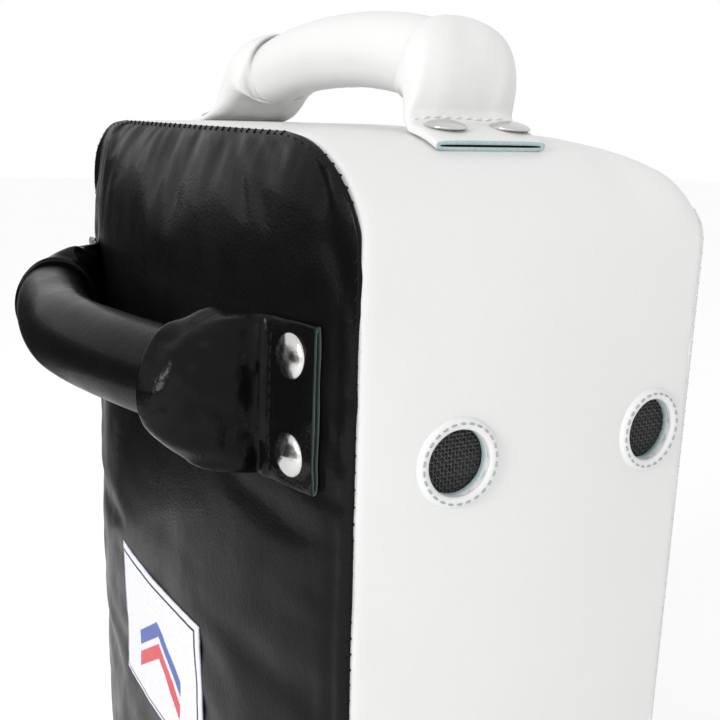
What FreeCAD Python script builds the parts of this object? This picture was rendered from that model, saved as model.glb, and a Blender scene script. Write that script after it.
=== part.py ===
"""Leather thai pad: a thick foam body in a sewn leather cover, with a padded grip on its back
face, a padded carry handle on its top edge and a hook-and-loop forearm strap on its front face.

The origin is the middle of the flat bottom edge. +Z runs up the pad, +X across its width and
+Y out of the front face, which carries the forearm strap. All sizes are in millimetres.
"""
import FreeCAD, Part
import math
import os

from FreeCAD import Vector

# Pad body
WIDTH = 240.0
DEPTH = 128.0
HEIGHT = 415.0
LEATHER = 2.0
TOP_CORNER = (44.0, 30.0)           # half axes across X and down Z, seen from the back
BOTTOM_CORNER = (36.0, 30.0)
TOP_FRONT_CORNER = (70.0, 56.0)     # half axes along Y and down Z, seen from the side
BOTTOM_FRONT_CORNER = (44.0, 36.0)
FRONT_SEAM_RIM = 4.0                # how far the front panel reaches round on to the sides
BACK_DOME = 15.0                    # how far the padding pushes the back panel out
DOME_RUN = 40.0                     # the dome rises over this distance from the end seams
DOME_GRID = (9, 21)                 # points across and up the dome surface
FOAM_SPLITS = (-30.0, 24.0)         # the planes between the three foam slabs

# Ventilation eyelets, two on each side
VENT_Y = (-30.8, 45.8)
VENT_DROP = 91.6                    # below the top edge
VENT_HOLE_R = 10.5
VENT_RING_R = 13.6
VENT_RING_PROUD = 1.0
VENT_MESH_R = 16.0
VENT_MESH_T = 0.8

# Label patch on the back panel
LABEL_SIZE = (85.0, 57.6)
LABEL_DROP = 198.0
LABEL_T = 0.6

# Leather ends, reinforcement and rivets that the handles and strap share
FLAP_T = 2.4
BACKING_T = 1.6
RIVET_CAP_R = 6.7
RIVET_CAP_RIM = 0.7
RIVET_CAP_H = 2.6
RIVET_POST_R = 1.6
WASHER_R = 5.5
WASHER_T = 0.8

# Back grip, across the upper part of the back face
BACK_GRIP_DROP = 71.0
BACK_GRIP_OUT = 46.9                # centre line at mid span, out from the seam plane
BACK_GRIP_END = (66.0, 33.0)        # where the stuffed tube ends, across and out
BACK_GRIP_R = 14.0
BACK_FLAP_X = (80.0, 112.0)
BACK_FLAP_DROP = (51.0, 100.0)
BACK_RIVET_X = 98.4
BACK_RIVET_DROP = (61.0, 90.2)

# Top handle, along the middle of the top edge
TOP_GRIP_Y = -6.0
TOP_GRIP_UP = 27.0
TOP_GRIP_END = (52.0, 21.0)
TOP_GRIP_R = 13.5
TOP_FLAP_X = (78.0, 100.0)
TOP_FLAP_HALF = 20.0
TOP_RIVET_X = 89.0
TOP_RIVET_HALF = 12.0

# Padded grips: a stuffed core in a leather sleeve
SLEEVE_T = 2.0
CORE_GAP = 0.2
CUFF_GAP = 0.3                      # between the end of a sleeve and its cuff

# Forearm strap across the front face
STRAP_WIDTH = 44.0
STRAP_Z = 206.0
STRAP_T = 2.4
STRAP_FLAP_X = (84.0, 112.0)
STRAP_RIVET_X = 100.0
STRAP_RIVET_HALF = 13.0
STRAP_ARCH = 24.0                   # clear height under the strap at mid span
STRAP_LIFT = 0.3                    # the arch starts this far off the face
PILE_T = 1.0                        # thickness of the hook patch and of the loop patch
PILE_GAP = 0.3
TAB_END_X = -8.0                    # the short strap ends here, under the long one
LOOP_X = (-4.0, 58.0)
HOOK_X = (2.0, 52.0)
BAND_END_X = 60.0
BAND_START_X = -91.8
ANCHOR_X = (-115.0, -94.0)
ANCHOR_RIVET_X = -104.5

REACH = 400.0                       # longer than any section through the pad

HALF_W = WIDTH / 2
HALF_D = DEPTH / 2
X, Y, Z = Vector(1, 0, 0), Vector(0, 1, 0), Vector(0, 0, 1)


def box(x, y, z):
    """A box between the pairs of limits x, y and z."""
    size = [high - low for low, high in (x, y, z)]
    return Part.makeBox(*size, Vector(x[0], y[0], z[0]))


def quarter(centre, major, minor):
    """A quarter of an ellipse, from centre + major to centre + minor."""
    ellipse = Part.Ellipse(centre + major, centre + minor, centre)
    return Part.ArcOfEllipse(ellipse, 0, math.pi / 2).toShape()


def closed_face(edges):
    return Part.Face(Part.Wire(Part.sortEdges(edges)[0]))


def outline_prism(inset):
    """The outline seen from the back, moved in by inset and extruded through the depth."""
    low, high, side = inset, HEIGHT - inset, HALF_W - inset
    at = -REACH / 2
    edges = []
    for end, up, (across, drop) in ((low, -1, BOTTOM_CORNER), (high, 1, TOP_CORNER)):
        across, drop = across - inset, drop - inset
        for hand in (-1, 1):
            centre = Vector(hand * (side - across), at, end - up * drop)
            edges.append(quarter(centre, X * hand * across, Z * up * drop))
        flat = side - across
        edges.append(Part.makeLine(Vector(-flat, at, end), Vector(flat, at, end)))
    bottom = low + BOTTOM_CORNER[1] - inset
    top = high - TOP_CORNER[1] + inset
    for hand in (-1, 1):
        edges.append(Part.makeLine(Vector(hand * side, at, bottom), Vector(hand * side, at, top)))
    return closed_face(edges).extrude(Y * REACH)


def profile_prism(inset):
    """The side profile, with its rounded front corners, extruded through the width."""
    low, high, front = inset, HEIGHT - inset, HALF_D - inset
    at, back = -REACH / 2, -REACH / 2
    run_low, rise_low = (value - inset for value in BOTTOM_FRONT_CORNER)
    run_high, rise_high = (value - inset for value in TOP_FRONT_CORNER)
    edges = [
        quarter(Vector(at, front - run_low, low + rise_low), Y * run_low, Z * -rise_low),
        quarter(Vector(at, front - run_high, high - rise_high), Y * run_high, Z * rise_high),
        Part.makeLine(Vector(at, back, low), Vector(at, front - run_low, low)),
        Part.makeLine(Vector(at, front, low + rise_low), Vector(at, front, high - rise_high)),
        Part.makeLine(Vector(at, front - run_high, high), Vector(at, back, high)),
        Part.makeLine(Vector(at, back, high), Vector(at, back, low)),
    ]
    return closed_face(edges).extrude(X * REACH)


def pad_prism(inset):
    """The pad's outer form moved in by inset, open-ended behind the back seam."""
    return outline_prism(inset).common(profile_prism(inset))


def dome_y(x, z):
    """Y of the back panel's outer surface."""
    across = 1 - (x / HALF_W) ** 2
    from_top = 1 - math.exp((z - HEIGHT) / DOME_RUN)
    from_bottom = 1 - math.exp(-z / DOME_RUN)
    return -HALF_D - BACK_DOME * across * from_top * from_bottom


def make_dome_face():
    """The back panel's outer surface, a little larger than the pad."""
    columns, rows = DOME_GRID
    spread = HALF_W + 6
    margin = 6
    grid = []
    for i in range(columns):
        x = -spread + 2 * spread * i / (columns - 1)
        heights = [-margin + (HEIGHT + 2 * margin) * j / (rows - 1) for j in range(rows)]
        grid.append([Vector(x, dome_y(x, z), z) for z in heights])
    surface = Part.BSplineSurface()
    surface.interpolate(grid)
    return surface.toShape()


DOME_FACE = make_dome_face()


def dome_layer(near, far):
    """The layer between near and far, measured along Y from the back panel's surface."""
    return DOME_FACE.translated(Y * near).extrude(Y * (far - near))


def cut_all(shape, tools):
    for tool in tools:
        shape = shape.cut(tool)
    return shape


def oval(centre, long_axis, short_axis):
    ellipse = Part.Ellipse(centre + long_axis, centre + short_axis, centre)
    return Part.Wire(ellipse.toShape())


def rivet(point, outward, grip):
    """Cap, post and washer of one rivet through a stack that is grip thick below point."""
    crown_rise = RIVET_CAP_H - RIVET_CAP_RIM
    sphere_r = (RIVET_CAP_R ** 2 + crown_rise ** 2) / (2 * crown_rise)
    half = math.asin(RIVET_CAP_R / sphere_r) / 2
    rim = Vector(RIVET_CAP_R, 0, 0)
    shoulder = Vector(RIVET_CAP_R, 0, RIVET_CAP_RIM)
    middle = Vector(sphere_r * math.sin(half), 0, RIVET_CAP_H - sphere_r * (1 - math.cos(half)))
    crown = Vector(0, 0, RIVET_CAP_H)
    edges = [
        Part.makeLine(Vector(), rim),
        Part.makeLine(rim, shoulder),
        Part.Arc(shoulder, middle, crown).toShape(),
        Part.makeLine(crown, Vector()),
    ]
    cap = closed_face(edges).revolve(Vector(), Z, 360)
    post = Part.makeCylinder(RIVET_POST_R, grip, Vector(0, 0, -grip))
    washer = Part.makeCylinder(WASHER_R, WASHER_T, Vector(0, 0, -grip - WASHER_T))
    turn = FreeCAD.Rotation(Z, outward)
    place = FreeCAD.Placement(point, turn)
    pieces = (cap, post, washer)
    for piece in pieces:
        piece.Placement = place
    return pieces


def grip_tube(apex, outward, end, rise, outer, inner):
    """A bent tube or rod through apex. It spans +-end across X and drops by rise from mid span."""
    bend = (end ** 2 + rise ** 2) / (2 * rise)
    centre = apex - outward * bend
    axis = X.cross(outward)
    half = math.degrees(math.asin(end / bend))
    section = Part.Face(Part.Wire(Part.Circle(apex, X, outer).toShape()))
    if inner:
        section = section.cut(Part.Face(Part.Wire(Part.Circle(apex, X, inner).toShape())))
    section.rotate(centre, axis, half)
    return section.revolve(centre, axis, -2 * half)


def arc_band(centre, inner, outer, x_from, x_to):
    """A strap bent round centre, between two radii and two X limits, STRAP_WIDTH wide."""
    base = Vector(centre.x, centre.y, STRAP_Z - STRAP_WIDTH / 2)
    ring = Part.makeCylinder(outer, STRAP_WIDTH, base).cut(Part.makeCylinder(inner, STRAP_WIDTH, base))
    middle = (inner + outer) / 2
    start = math.acos(x_to / middle)
    stop = math.acos(x_from / middle)
    sweep = math.degrees(stop - start)
    sector = Part.makeCylinder(outer + 5, STRAP_WIDTH, base, Z, sweep)
    sector.rotate(base, Z, math.degrees(start))
    return ring.common(sector)


def build_back_handle(parts):
    """The padded grip on the back face. Returns the posts and what is fixed inside the cover."""
    level = HEIGHT - BACK_GRIP_DROP
    apex = Vector(0, -HALF_D - BACK_GRIP_OUT, level)
    end, out = BACK_GRIP_END
    rise = BACK_GRIP_OUT - out
    wall = BACK_GRIP_R - SLEEVE_T
    parts["back_grip_sleeve"] = grip_tube(apex, -Y, end, rise, BACK_GRIP_R, wall)
    parts["back_grip_core"] = grip_tube(apex, -Y, end, rise, wall - CORE_GAP, 0)

    flap_z = (HEIGHT - BACK_FLAP_DROP[1], HEIGHT - BACK_FLAP_DROP[0])
    slope = 2 * end * rise / (end ** 2 - rise ** 2)
    caps, posts, washers, strips, cuffs = [], [], [], [], {}
    for hand, side in ((1, "right"), (-1, "left")):
        near, far = sorted(hand * value for value in BACK_FLAP_X)
        flap_box = box((near, far), (-HALF_D - 50, 0), flap_z)
        flap = dome_layer(-FLAP_T, 0).common(flap_box)
        along = Vector(hand, slope, 0).normalize()
        across = Vector(-slope, hand, 0).normalize()
        mouth = Vector(hand * end, -HALF_D - out, level) + along * CUFF_GAP
        foot_x = hand * (BACK_FLAP_X[0] + 0.5)
        foot_z = sum(flap_z) / 2
        foot = Vector(foot_x, dome_y(foot_x, foot_z) - FLAP_T / 2, foot_z)
        half_height = (flap_z[1] - flap_z[0]) / 2
        sections = [
            oval(mouth, Z * (BACK_GRIP_R + 0.01), across * hand * BACK_GRIP_R),
            oval(foot, Z * half_height, Y * FLAP_T / 2),
        ]
        sleeve_end = Part.makeLoft(sections, True, True)
        cuffs[side] = flap.fuse(sleeve_end).cut(dome_layer(0, DEPTH)).removeSplitter()
        strips.append(dome_layer(LEATHER, LEATHER + BACKING_T).common(flap_box))
        for drop in BACK_RIVET_DROP:
            x, z = hand * BACK_RIVET_X, HEIGHT - drop
            tilt = (dome_y(x + 1, z) - dome_y(x - 1, z)) / 2
            outward = Vector(tilt, -1, 0).normalize()
            point = Vector(x, dome_y(x, z), z) + outward * FLAP_T
            cap, post, washer = rivet(point, outward, FLAP_T + LEATHER + BACKING_T)
            caps.append(cap.cut(dome_layer(-FLAP_T, DEPTH)))
            posts.append(post)
            washers.append(washer.cut(dome_layer(-FLAP_T, LEATHER + BACKING_T)))
    for side, cuff in cuffs.items():
        parts["back_cuff_" + side] = cut_all(cuff, posts)
    parts["back_backing_strips"] = cut_all(Part.makeCompound(strips), posts)
    parts["back_rivet_caps"] = Part.makeCompound(caps)
    parts["back_rivet_posts"] = Part.makeCompound(posts)
    parts["back_rivet_washers"] = Part.makeCompound(washers)
    return posts, strips + washers


def corner_drop(offset, half_size, corner):
    """How far the top edge has dropped at offset from the middle, on the way into a corner."""
    run, drop = corner
    into = max(0.0, offset - (half_size - run)) / run
    return drop * (1 - math.sqrt(1 - into ** 2))


def top_z(x, y):
    """Z of the top edge's outer surface."""
    across = corner_drop(abs(x), HALF_W, TOP_CORNER)
    return HEIGHT - max(across, corner_drop(y, HALF_D, TOP_FRONT_CORNER))


def build_top_handle(parts):
    """The carry handle on the top edge. Returns the posts and what is fixed inside the cover."""
    apex = Vector(0, TOP_GRIP_Y, HEIGHT + TOP_GRIP_UP)
    end, up = TOP_GRIP_END
    rise = TOP_GRIP_UP - up
    wall = TOP_GRIP_R - SLEEVE_T
    parts["top_grip_sleeve"] = grip_tube(apex, Z, end, rise, TOP_GRIP_R, wall)
    parts["top_grip_core"] = grip_tube(apex, Z, end, rise, wall - CORE_GAP, 0)

    flap_y = (TOP_GRIP_Y - TOP_FLAP_HALF, TOP_GRIP_Y + TOP_FLAP_HALF)
    slope = 2 * end * rise / (end ** 2 - rise ** 2)
    pad = pad_prism(0)
    over_flaps = pad_prism(-FLAP_T)
    under_strips = pad_prism(LEATHER + BACKING_T)
    flap_skin = over_flaps.cut(pad)
    backing_skin = pad_prism(LEATHER).cut(under_strips)
    caps, posts, washers, strips, cuffs = [], [], [], [], {}
    for hand, side in ((1, "right"), (-1, "left")):
        near, far = sorted(hand * value for value in TOP_FLAP_X)
        flap_box = box((near, far), flap_y, (HEIGHT - 20, HEIGHT + 20))
        along = Vector(hand, 0, -slope).normalize()
        across = Vector(hand * slope, 0, 1).normalize()
        mouth = Vector(hand * end, TOP_GRIP_Y, HEIGHT + up) + along * CUFF_GAP
        foot_x = hand * (TOP_FLAP_X[0] + 0.5)
        foot = Vector(foot_x, TOP_GRIP_Y, top_z(foot_x, TOP_GRIP_Y) + FLAP_T / 2)
        sections = [
            oval(mouth, Y * (TOP_GRIP_R + 0.01), across * TOP_GRIP_R),
            oval(foot, Y * TOP_FLAP_HALF, Z * FLAP_T / 2),
        ]
        sleeve_end = Part.makeLoft(sections, True, True)
        cuffs[side] = flap_skin.common(flap_box).fuse(sleeve_end).cut(pad).removeSplitter()
        strips.append(backing_skin.common(flap_box))
        for shift in (-TOP_RIVET_HALF, TOP_RIVET_HALF):
            x, y = hand * TOP_RIVET_X, TOP_GRIP_Y + shift
            tilt = (top_z(x + 1, y) - top_z(x - 1, y)) / 2
            outward = Vector(-tilt, 0, 1).normalize()
            point = Vector(x, y, top_z(x, y)) + outward * FLAP_T
            cap, post, washer = rivet(point, outward, FLAP_T + LEATHER + BACKING_T)
            caps.append(cap.cut(over_flaps))
            posts.append(post)
            washers.append(washer.common(under_strips))
    for side, cuff in cuffs.items():
        parts["top_cuff_" + side] = cut_all(cuff, posts)
    parts["top_backing_strips"] = cut_all(Part.makeCompound(strips), posts)
    parts["top_rivet_caps"] = Part.makeCompound(caps)
    parts["top_rivet_posts"] = Part.makeCompound(posts)
    parts["top_rivet_washers"] = Part.makeCompound(washers)
    return posts, strips + washers


def build_strap(parts):
    """The forearm strap. Returns the posts and what is fixed inside the cover."""
    span = STRAP_FLAP_X[0]
    sag = STRAP_ARCH - STRAP_LIFT
    inner = (span ** 2 + sag ** 2) / (2 * sag)
    centre = Vector(0, HALF_D + STRAP_ARCH - inner, 0)
    z = (STRAP_Z - STRAP_WIDTH / 2, STRAP_Z + STRAP_WIDTH / 2)
    face = (HALF_D, HALF_D + FLAP_T)

    tab_outer = inner + STRAP_T
    loop_outer = tab_outer + PILE_T
    hook_inner = loop_outer + PILE_GAP
    band_inner = hook_inner + PILE_T
    pad = box((-HALF_W, HALF_W), (-HALF_D, HALF_D), (0, HEIGHT))
    tab = arc_band(centre, inner, tab_outer, TAB_END_X, span + 2)
    tab_flap = box((span - 1, STRAP_FLAP_X[1]), face, z)
    parts["strap_loop_patch"] = arc_band(centre, tab_outer, loop_outer, *LOOP_X)
    parts["strap_hook_patch"] = arc_band(centre, hook_inner, band_inner, *HOOK_X)
    parts["strap_band"] = arc_band(centre, band_inner, band_inner + STRAP_T, BAND_START_X, BAND_END_X)

    grip = FLAP_T + LEATHER + BACKING_T
    inside = (HALF_D - LEATHER - BACKING_T, HALF_D - LEATHER)
    strips = [box((span, STRAP_FLAP_X[1]), inside, z), box(ANCHOR_X, inside, z)]
    caps, posts, washers = [], [], []
    for x in (ANCHOR_RIVET_X, STRAP_RIVET_X):
        for shift in (-STRAP_RIVET_HALF, STRAP_RIVET_HALF):
            point = Vector(x, HALF_D + FLAP_T, STRAP_Z + shift)
            cap, post, washer = rivet(point, Y, grip)
            caps.append(cap)
            posts.append(post)
            washers.append(washer)
    parts["strap_tab"] = cut_all(tab.fuse(tab_flap).cut(pad).removeSplitter(), posts)
    parts["strap_anchor"] = cut_all(box(ANCHOR_X, face, z), posts)
    parts["strap_backing_strips"] = cut_all(Part.makeCompound(strips), posts)
    parts["strap_rivet_caps"] = Part.makeCompound(caps)
    parts["strap_rivet_posts"] = Part.makeCompound(posts)
    parts["strap_rivet_washers"] = Part.makeCompound(washers)
    return posts, strips + washers


def build_vents(parts):
    """Eyelet rings and the mesh behind them. Returns the holes and what is fixed inside."""
    holes, inside = [], []
    for hand, side in ((1, "right"), (-1, "left")):
        rings, meshes = [], []
        for y in VENT_Y:
            outer_face = Vector(hand * HALF_W, y, HEIGHT - VENT_DROP)
            way = X * hand
            ring = Part.makeCylinder(VENT_RING_R, VENT_RING_PROUD, outer_face, way)
            bore = Part.makeCylinder(VENT_HOLE_R, LEATHER + VENT_RING_PROUD, outer_face - way * LEATHER, way)
            mesh_at = outer_face - way * (LEATHER + VENT_MESH_T)
            rings.append(ring.cut(bore))
            meshes.append(Part.makeCylinder(VENT_MESH_R, VENT_MESH_T, mesh_at, way))
            holes.append(bore)
        parts["vent_rings_" + side] = Part.makeCompound(rings)
        parts["vent_mesh_" + side] = Part.makeCompound(meshes)
        inside += meshes
    return holes, inside


def build_body(parts, posts, vent_holes, pockets):
    """The sewn leather cover, the foam slabs inside it and the label patch."""
    outer = pad_prism(0)
    skin = outer.cut(pad_prism(LEATHER))
    x, z = (-HALF_W, HALF_W), (0, HEIGHT)
    front_seam = HALF_D - FRONT_SEAM_RIM
    band = skin.common(box(x, (-HALF_D + LEATHER, front_seam), z))
    parts["side_band"] = cut_all(band, posts + vent_holes)
    parts["front_cover"] = cut_all(skin.common(box(x, (front_seam, HALF_D), z)), posts)
    parts["back_cover"] = cut_all(dome_layer(0, LEATHER).common(outline_prism(0)), posts)

    filling = pad_prism(LEATHER).common(dome_layer(LEATHER, 2 * DEPTH))
    filling = cut_all(filling, pockets + posts)
    first, second = FOAM_SPLITS
    slabs = {
        "back_foam": (-REACH / 2, first),
        "core_foam": (first, second),
        "front_foam": (second, REACH / 2),
    }
    for name, limits in slabs.items():
        slab = filling.common(box(x, limits, z))
        # The pockets can leave a loose sliver, so the slab is its largest solid.
        parts[name] = max(slab.Solids, key=lambda solid: solid.Volume)

    half, height = LABEL_SIZE[0] / 2, LABEL_SIZE[1]
    middle = HEIGHT - LABEL_DROP
    patch = box((-half, half), (-REACH / 2, 0), (middle - height / 2, middle + height / 2))
    parts["label_patch"] = dome_layer(-LABEL_T, 0).common(patch)


def main():
    parts = {}
    posts, pockets = [], []
    for build in (build_back_handle, build_top_handle, build_strap):
        more_posts, more_pockets = build(parts)
        posts += more_posts
        pockets += more_pockets
    vent_holes, meshes = build_vents(parts)
    build_body(parts, posts, vent_holes, pockets + meshes)
    os.makedirs("parts", exist_ok=True)
    for name, shape in sorted(parts.items()):
        shape.exportStep("parts/" + name + ".step")
        size = shape.BoundBox
        print(f"{name:22s} {len(shape.Solids)} solids {shape.Volume / 1000:9.2f} cm3 valid {shape.isValid()}"
              f"  {size.XMin:.1f}..{size.XMax:.1f} {size.YMin:.1f}..{size.YMax:.1f}"
              f" {size.ZMin:.1f}..{size.ZMax:.1f}")


main()
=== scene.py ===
"""Looks of the leather thai pad: sewn covers, padded grips, eyelets, label, strap and stitches.

Shapes are worked out in millimetres in the frame's own axes and written to meshes in metres.
+Z runs up the pad, +X across it and -Y out of the black back face.
"""
import functools
import math

import bmesh
import bpy
from mathutils import Matrix, Vector, noise
from mathutils.bvhtree import BVHTree


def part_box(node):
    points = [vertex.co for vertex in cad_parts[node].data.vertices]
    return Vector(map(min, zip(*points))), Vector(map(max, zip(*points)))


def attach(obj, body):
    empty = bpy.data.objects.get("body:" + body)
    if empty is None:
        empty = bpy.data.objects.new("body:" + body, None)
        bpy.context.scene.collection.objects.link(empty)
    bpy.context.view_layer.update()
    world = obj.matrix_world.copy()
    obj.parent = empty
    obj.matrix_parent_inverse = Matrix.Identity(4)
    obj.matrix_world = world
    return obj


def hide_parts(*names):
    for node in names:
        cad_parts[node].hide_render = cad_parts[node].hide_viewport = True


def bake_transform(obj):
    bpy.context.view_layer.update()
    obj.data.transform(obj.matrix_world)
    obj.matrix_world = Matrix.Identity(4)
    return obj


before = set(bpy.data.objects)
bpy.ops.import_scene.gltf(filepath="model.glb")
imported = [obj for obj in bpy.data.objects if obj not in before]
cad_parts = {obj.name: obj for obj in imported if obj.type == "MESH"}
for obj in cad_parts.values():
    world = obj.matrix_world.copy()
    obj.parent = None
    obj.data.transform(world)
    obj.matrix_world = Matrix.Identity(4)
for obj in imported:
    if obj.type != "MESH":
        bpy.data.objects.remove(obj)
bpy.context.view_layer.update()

MM = 0.001


def box_mm(node):
    """A CAD node's box in millimetres."""
    low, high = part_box(node)
    return low / MM, high / MM


# Pad body, from the frame. The leather of the front panel stands FRONT_SWELL proud of its CAD solid.
BAND_LOW, BAND_HIGH = box_mm("side_band")
HALF_W = BAND_HIGH.x
HEIGHT = BAND_HIGH.z
LEATHER = 2.0
BACK_SEAM = BAND_LOW.y - LEATHER
FRONT_SEAM = BAND_HIGH.y + 3.6
FRONT_SWELL = 2.4
FRONT = box_mm("front_cover")[1].y + 0.3
HALF_D = FRONT + FRONT_SWELL
BACK_DOME = BACK_SEAM - box_mm("back_cover")[0].y
DOME_RUN = 40.0
# Corners as half axes: (across, down) on the panels, (along the depth, down) at the front
TOP_CORNER = (44.0, 30.0)
BOTTOM_CORNER = (36.0, 30.0)
TOP_FRONT_CORNER = (44.0, 28.0)
BOTTOM_FRONT_CORNER = (44.0, 36.0)
LEAST_CORNER = (16.0, 14.0)
SIDE_BULGE = 4.3
PILLOW = 2.6
SEAM_LENGTH = 1240.0
SEAM_STITCH = 5.0
SEAM_ROLL = 3.0

# Fittings, from the frame
BACK_RIVETS = box_mm("back_rivet_caps")
STRAP_RIVETS = box_mm("strap_rivet_caps")
BACK_CUFF = box_mm("back_cuff_right")
TOP_CUFF = box_mm("top_cuff_right")
BACK_SLEEVE = box_mm("back_grip_sleeve")
TOP_SLEEVE = box_mm("top_grip_sleeve")
LABEL = box_mm("label_patch")
VENTS = box_mm("vent_rings_right")
VENT_R = (VENTS[1].z - VENTS[0].z) / 2
VENT_Z = (VENTS[1].z + VENTS[0].z) / 2
VENT_Y = (VENTS[0].y + VENT_R, VENTS[1].y - VENT_R)
STRAP_BAND = box_mm("strap_band")
STRAP_TAB = box_mm("strap_tab")
STRAP_ANCHOR = box_mm("strap_anchor")
CAP_R = 6.7
FLAP_T = 3.6
FLAP_Z = (BACK_CUFF[0].z + BACK_CUFF[1].z) / 2
LABEL_HALF_W = (LABEL[1].x - LABEL[0].x) / 2
LABEL_HALF_H = (LABEL[1].z - LABEL[0].z) / 2
STRAP_T = 2.4
PILE_T = 1.0
PILE_GAP = 0.3

# Centre lines of the grips as (height, half span, power) of a superellipse
BACK_ARCH = (45.6, 131.9, 1.5)
TOP_ARCH = (28.0, 91.5, 2.1)


# ---------------------------------------------------------------- meshes

def make_object(name, points, faces, materials, face_materials=None):
    """A smooth-shaded object from points in millimetres."""
    mesh = bpy.data.meshes.new(name)
    mesh.from_pydata([Vector(p) * MM for p in points], [], faces)
    for material in materials:
        mesh.materials.append(material)
    if face_materials:
        mesh.polygons.foreach_set("material_index", face_materials)
    mesh.polygons.foreach_set("use_smooth", [True] * len(mesh.polygons))
    mesh.update()
    obj = bpy.data.objects.new(name, mesh)
    bpy.context.scene.collection.objects.link(obj)
    return obj


def middle_of(points):
    return sum(points, Vector()) / len(points)


def circle(centre, side, up, radius, count):
    """Points round a circle in the plane of side and up."""
    points = []
    for k in range(count):
        angle = math.tau * k / count
        points.append(centre + (side * math.cos(angle) + up * math.sin(angle)) * radius)
    return points


class Builder:
    """Collects rows, strips and caps of one mesh."""

    def __init__(self):
        self.points = []
        self.faces = []
        self.kinds = []

    def row(self, points):
        start = len(self.points)
        self.points += [Vector(p) for p in points]
        return list(range(start, len(self.points)))

    def strip(self, first, second, closed=False, kind=0):
        count = len(first)
        for i in range(count if closed else count - 1):
            j = (i + 1) % count
            self.faces.append((first[i], first[j], second[j], second[i]))
            self.kinds.append(kind)

    def loft(self, rows, closed=False, kind=0):
        rows = [self.row(points) for points in rows]
        for first, second in zip(rows, rows[1:]):
            self.strip(first, second, closed, kind)
        return rows

    def fan(self, ring, centre, kind=0, flip=False):
        tip = self.row([centre])[0]
        for i, a in enumerate(ring):
            b = ring[(i + 1) % len(ring)]
            self.faces.append((b, a, tip) if flip else (a, b, tip))
            self.kinds.append(kind)

    def tube(self, rings, kind=0):
        """A closed loft through rings, capped at both ends."""
        rows = self.loft(rings, closed=True, kind=kind)
        self.fan(rows[0], middle_of(rings[0]), kind, flip=True)
        self.fan(rows[-1], middle_of(rings[-1]), kind)

    def build(self, name, materials):
        return make_object(name, self.points, self.faces, materials, self.kinds)


def apply_modifiers(obj):
    """Bakes the object's modifiers into its mesh."""
    graph = bpy.context.evaluated_depsgraph_get()
    graph.update()
    mesh = bpy.data.meshes.new_from_object(obj.evaluated_get(graph))
    obj.modifiers.clear()
    obj.data = mesh
    mesh.polygons.foreach_set("use_smooth", [True] * len(mesh.polygons))
    return obj


def recalculate_outward(obj):
    """Turns every face of a closed piece outwards."""
    work = bmesh.new()
    work.from_mesh(obj.data)
    bmesh.ops.recalc_face_normals(work, faces=work.faces)
    work.to_mesh(obj.data)
    work.free()


def subdivide(obj):
    """Smooths the piece by one level of subdivision."""
    modifier = obj.modifiers.new("smooth", "SUBSURF")
    modifier.levels = modifier.render_levels = 1
    return apply_modifiers(obj)


def thicken(obj, thickness):
    """Gives a panel its leather's thickness, inwards."""
    modifier = obj.modifiers.new("leather", "SOLIDIFY")
    modifier.thickness = thickness * MM
    modifier.offset = -1
    modifier.use_even_offset = False
    return apply_modifiers(obj)


def settle(obj, body, slot, *nodes):
    """Rides the piece on a body and hides the CAD nodes that it stands for; slot is not used."""
    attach(obj, body)
    if nodes:
        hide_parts(*nodes)
    return obj


def smoothstep(low, high, value):
    """0 before low, 1 past high and an eased rise between; low may be the larger."""
    t = min(1.0, max(0.0, (value - low) / (high - low)))
    return t * t * (3 - 2 * t)


def spline(stations, step):
    """Catmull-Rom interpolation of equal-length tuples, about step apart in the first two."""
    result = []
    last = len(stations) - 1
    for i in range(last):
        before, start = stations[max(i - 1, 0)], stations[i]
        end, after = stations[i + 1], stations[min(i + 2, last)]
        length = math.hypot(end[0] - start[0], end[1] - start[1])
        pieces = max(1, round(length / step))
        for k in range(pieces):
            t = k / pieces
            values = []
            for a, b, c, d in zip(before, start, end, after):
                values.append(0.5 * (2 * b + (c - a) * t + (2 * a - 5 * b + 4 * c - d) * t * t
                                     + (3 * b - a - 3 * c + d) * t ** 3))
            result.append(tuple(values))
    result.append(stations[-1])
    return result


def wave(*coordinates):
    """Smooth repeatable noise from -1 to 1."""
    x, y, z = (list(coordinates) + [0.0, 0.0])[:3]
    return noise.noise(Vector((x + 17.3, y + 5.1, z + 9.7)))


# ---------------------------------------------------------------- materials

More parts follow.
